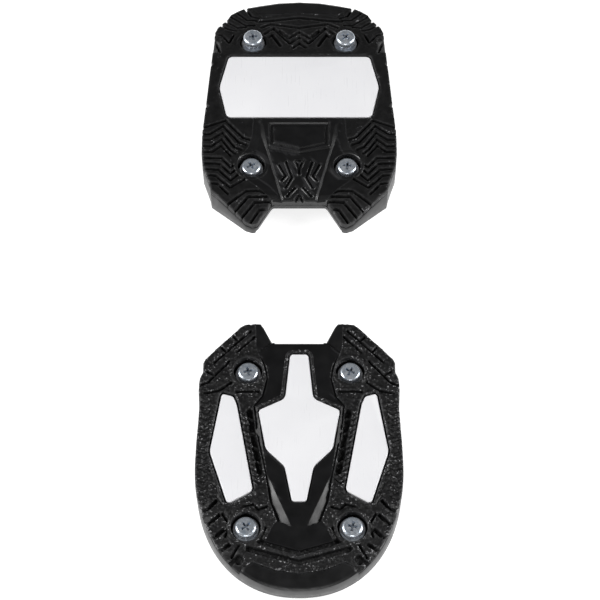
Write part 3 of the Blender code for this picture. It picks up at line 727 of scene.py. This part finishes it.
heel_t = tread("heel_tread_rubber", (-37, 37, 17, 125), 0.27, HEEL_OUT, heel_top, [HEEL_ZONE, HEEL_BUMPER],
               [HEEL_HEX], 0.40, HEEL_SCREWS, HEEL_WIDE, HEEL_BROAD, [], [], [], [], [],
               [(94.2, 102.4, 2.8, 1.9)], 0.045, 1.15, lambda y: np.where(y > 80.0, 1.0, 0.35), 0.32)
dress(toe_t, M_TOE_RUBBER, "toe_pad", "rubber", "toe_tread")
dress(heel_t, M_HEEL_RUBBER, "heel_pad", "rubber", "heel_tread")


# ---- slide plates: bevelled prisms with rounded corners --------------------------------------------
def round_corners(poly, r, seg=5):
    out, n = [], len(poly)
    for i in range(n):
        a, b, c = Vector(poly[i - 1]), Vector(poly[i]), Vector(poly[(i + 1) % n])
        u, v = (a - b), (c - b)
        k = min(r, u.length * 0.45, v.length * 0.45)
        p, q = b + u.normalized() * k, b + v.normalized() * k
        for s in range(seg + 1):
            t = s / seg
            out.append(tuple(p * (1 - t) ** 2 + b * 2 * t * (1 - t) + q * t * t))
    return out


def plate(name, poly, z0, z1, r, body, cad):
    pts = round_corners(poly, r)
    bm = bmesh.new()
    lo = [bm.verts.new((x * MM, (y + Y0) * MM, z0 * MM)) for x, y in pts]
    f = bm.faces.new(lo)
    ext = bmesh.ops.extrude_face_region(bm, geom=[f])
    up = [g for g in ext["geom"] if isinstance(g, bmesh.types.BMVert)]
    bmesh.ops.translate(bm, verts=up, vec=(0, 0, (z1 - z0) * MM))
    bmesh.ops.recalc_face_normals(bm, faces=bm.faces)
    rim = [e for e in bm.edges if all(v in up for v in e.verts)]
    bmesh.ops.bevel(bm, geom=rim, offset=0.00035, segments=3, affect="EDGES", profile=0.5)
    me = bpy.data.meshes.new(name)
    bm.to_mesh(me)
    bm.free()
    me.shade_smooth()
    me.set_sharp_from_angle(angle=math.radians(30))
    ob = bpy.data.objects.new(name, me)
    bpy.context.scene.collection.objects.link(ob)
    return dress(ob, M_PLATE, body, "slide_plate", cad)


plate("toe_centre_slide", TOE_CENTRE, TOP - 2.0, TOP - 0.2, 0.8, "toe_pad", "toe_centre_plate")
plate("toe_left_slide", TOE_SIDE_L, TOP - 2.1, TOP - 0.1, 0.8, "toe_pad", "toe_left_plate")
plate("toe_right_slide", TOE_SIDE, TOP - 2.1, TOP - 0.1, 0.8, "toe_pad", "toe_right_plate")
plate("heel_slide", HEEL_HEX, TOP - 2.1, TOP - 0.1, 1.6, "heel_pad", "heel_plate")


# ---- screws and washers --------------------------------------------------------------------------
def lathe(name, prof, seg, thread=None):
    """Turned solid about Z; thread = (top, bottom, pitch, depth) waves the radius as a helix."""
    verts, rings, faces = [], [], []
    for r, z in prof:
        if r < 1e-6:
            rings.append([len(verts)])
            verts.append((0, 0, z))
            continue
        ring = []
        for i in range(seg):
            a = 2 * math.pi * i / seg
            rr = r
            if thread and thread[1] < z < thread[0]:
                ph = (z / thread[2] - i / seg) % 1.0
                fade = min(1.0, (thread[0] - z) / 0.4, (z - thread[1]) / 0.4)
                rr = r - thread[3] * fade * abs(2 * ph - 1)
            ring.append(len(verts))
            verts.append((rr * math.cos(a), rr * math.sin(a), z))
        rings.append(ring)
    for p, q in zip(rings, rings[1:]):
        for i in range(seg):
            j = (i + 1) % seg
            if len(p) == 1:
                faces.append([p[0], q[i], q[j]])
            elif len(q) == 1:
                faces.append([p[i], q[0], p[j]])
            else:
                faces.append([p[i], q[i], q[j], p[j]])
    me = bpy.data.meshes.new(name)
    me.from_pydata([(x * MM, y * MM, z * MM) for x, y, z in verts], [], faces)
    bm = bmesh.new()
    bm.from_mesh(me)
    bmesh.ops.recalc_face_normals(bm, faces=bm.faces)
    bm.to_mesh(me)
    bm.free()
    ob = bpy.data.objects.new(name, me)
    bpy.context.scene.collection.objects.link(ob)
    return ob


def cross_cutter():
    """Tapered four-wing recess."""
    bm = bmesh.new()
    for turn in (0, 1):
        w, l, depth = 0.50, 2.15, 1.6
        pts = []
        for z, k in ((1.0, 1.0), (-depth, 0.55)):
            for sx, sy in ((-1, -1), (1, -1), (1, 1), (-1, 1)):
                x, y = sx * l * k, sy * w * (1.0 if k == 1.0 else 0.7)
                pts.append((y, x, z) if turn else (x, y, z))
        v = [bm.verts.new((x * MM, y * MM, z * MM)) for x, y, z in pts]
        for q in ((0, 1, 2, 3), (7, 6, 5, 4), (0, 4, 5, 1), (1, 5, 6, 2), (2, 6, 7, 3), (3, 7, 4, 0)):
            bm.faces.new([v[i] for i in q])
    bmesh.ops.recalc_face_normals(bm, faces=bm.faces)
    me = bpy.data.meshes.new("recess")
    bm.to_mesh(me)
    bm.free()
    ob = bpy.data.objects.new("recess", me)
    bpy.context.scene.collection.objects.link(ob)
    return ob


HEAD_R, HEAD_H, SHANK_L = 3.6, 2.4, 9.8
head = [(0.0, 0.0), (1.4, -0.02), (2.5, -0.08)]
head += [(2.5 + 1.1 * math.sin(math.pi / 2 * i / 8), -0.08 - 1.0 * (1 - math.cos(math.pi / 2 * i / 8)))
         for i in range(1, 9)]
head += [(HEAD_R, -1.5), (HEAD_R, -HEAD_H + 0.15), (HEAD_R - 0.15, -HEAD_H), (2.2, -HEAD_H), (2.0, -HEAD_H - 0.15)]
zz = -HEAD_H - 0.15
while zz > -HEAD_H - SHANK_L + 0.8:
    zz -= 0.09
    head.append((2.0, zz))
head += [(1.5, -HEAD_H - SHANK_L + 0.2), (1.2, -HEAD_H - SHANK_L), (0.0, -HEAD_H - SHANK_L)]
proto = lathe("screw_proto", head, 40, (-HEAD_H - 0.5, -HEAD_H - SHANK_L + 0.5, 0.7, 0.3))
cutter = cross_cutter()
mod = proto.modifiers.new("recess", "BOOLEAN")
mod.operation, mod.solver, mod.object, mod.use_self = "DIFFERENCE", "EXACT", cutter, True
bpy.context.view_layer.update()
screw_mesh = bpy.data.meshes.new_from_object(proto.evaluated_get(bpy.context.evaluated_depsgraph_get()))
bpy.data.objects.remove(proto, do_unlink=True)
bpy.data.objects.remove(cutter, do_unlink=True)
screw_mesh.shade_smooth()
screw_mesh.set_sharp_from_angle(angle=math.radians(38))

SPIN = {"toe_rear_left": 12, "toe_rear_right": 63, "toe_front_left": 38, "toe_front_right": 77,
        "heel_rear_left": 5, "heel_rear_right": 51, "heel_front_left": 28, "heel_front_right": 84}
for where, turn in SPIN.items():
    lo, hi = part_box(where + "_screw")
    cx, cy = (lo[0] + hi[0]) / 2, (lo[1] + hi[1]) / 2
    me = screw_mesh.copy()
    me.name = where + "_screw_detail"
    c, s = math.cos(math.radians(turn)), math.sin(math.radians(turn))
    n = len(me.vertices)
    co = np.empty(n * 3, np.float32)
    me.vertices.foreach_get("co", co)
    co = co.reshape(-1, 3)
    out = np.column_stack([co[:, 0] * c - co[:, 1] * s + cx, co[:, 0] * s + co[:, 1] * c + cy, co[:, 2] + hi[2]])
    me.vertices.foreach_set("co", out.astype(np.float32).ravel())
    ob = bpy.data.objects.new(where + "_screw_detail", me)
    bpy.context.scene.collection.objects.link(ob)
    dress(ob, M_ZINC, where + "_screw_body", "zinc", where + "_screw")

    lo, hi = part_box(where + "_washer")
    ro, ri, z0, z1 = 4.4, 2.25, lo[2] / MM, hi[2] / MM
    seg, ring = 64, []
    e = 0.14
    ring = [(ri + e, z0), (ro - e, z0), (ro, z0 + e), (ro, z1 - e * 1.4), (ro - e * 1.4, z1), (ri + e, z1),
            (ri, z1 - e), (ri, z0 + e)]
    V = np.array([((r * math.cos(2 * math.pi * i / seg)) * MM + cx, (r * math.sin(2 * math.pi * i / seg)) * MM + cy,
                   z * MM) for i in range(seg) for r, z in ring])
    k = len(ring)
    F = np.array([[i * k + a, i * k + (a + 1) % k, ((i + 1) % seg) * k + (a + 1) % k, ((i + 1) % seg) * k + a]
                  for i in range(seg) for a in range(k)])
    w = mesh(where + "_washer_detail", V, F[:, ::-1])
    bm = bmesh.new()
    bm.from_mesh(w.data)
    bmesh.ops.recalc_face_normals(bm, faces=bm.faces)
    bm.to_mesh(w.data)
    bm.free()
    dress(w, M_WASHER, where + "_washer_body", "zinc", where + "_washer")
bpy.data.meshes.remove(screw_mesh)


# ---- stage, light, camera ------------------------------------------------------------------------
bpy.ops.mesh.primitive_plane_add(size=6.0, location=(0, 0, -0.0004))
floor = bpy.context.object
floor.name = "floor"
fm, fnt, fb = new_mat("floor", 0.9)
fb.inputs["Base Color"].default_value = (0.56, 0.56, 0.56, 1)
fb.inputs["Emission Color"].default_value = (1, 1, 1, 1)
fb.inputs["Emission Strength"].default_value = 0.80
floor.data.materials.append(fm)

world = bpy.data.worlds.new("studio")
bpy.context.scene.world = world
world.use_nodes = True
# a pale backdrop that lights the object only faintly
wt = world.node_tree
dim = wt.nodes["Background"]
dim.inputs["Color"].default_value = (1, 1, 1, 1)
dim.inputs["Strength"].default_value = 0.085
pale = wt.nodes.new("ShaderNodeBackground")
pale.inputs["Color"].default_value = (1, 1, 1, 1)
pale.inputs["Strength"].default_value = 0.92
path = wt.nodes.new("ShaderNodeLightPath")
both = wt.nodes.new("ShaderNodeMixShader")
wt.links.new(path.outputs["Is Camera Ray"], both.inputs[0])
wt.links.new(dim.outputs[0], both.inputs[1])
wt.links.new(pale.outputs[0], both.inputs[2])
wt.links.new(both.outputs[0], wt.nodes["World Output"].inputs["Surface"])


def area(name, loc, target, size, power):
    d = bpy.data.lights.new(name, "AREA")
    d.energy, d.size = power, size
    ob = bpy.data.objects.new(name, d)
    ob.location = loc
    ob.rotation_euler = (Vector(target) - Vector(loc)).to_track_quat("-Z", "Y").to_euler()
    bpy.context.scene.collection.objects.link(ob)


area("left_soft", (-1.00, -0.02, 0.66), (0, 0, 0), 0.60, 14.6)
area("right_soft", (1.00, -0.02, 0.66), (0, 0, 0), 0.60, 12.4)
area("front_soft", (0.0, -1.40, 0.60), (0, 0, 0), 0.60, 5.1)

cam = bpy.data.cameras.new("camera")
cam.sensor_width = 36.0
cam.lens = 1924.0 / 600.0 * 36.0
cam.clip_start, cam.clip_end = 0.01, 10.0
co = bpy.data.objects.new("camera", cam)
co.location = (0.00028, (-336.0 - 14.0 + Y0) * MM, 594.97 * MM)
co.rotation_euler = (math.radians(30.0), 0.0, 0.0)
bpy.context.scene.collection.objects.link(co)
bpy.context.scene.camera = co
bpy.context.scene.view_settings.view_transform = "Standard"
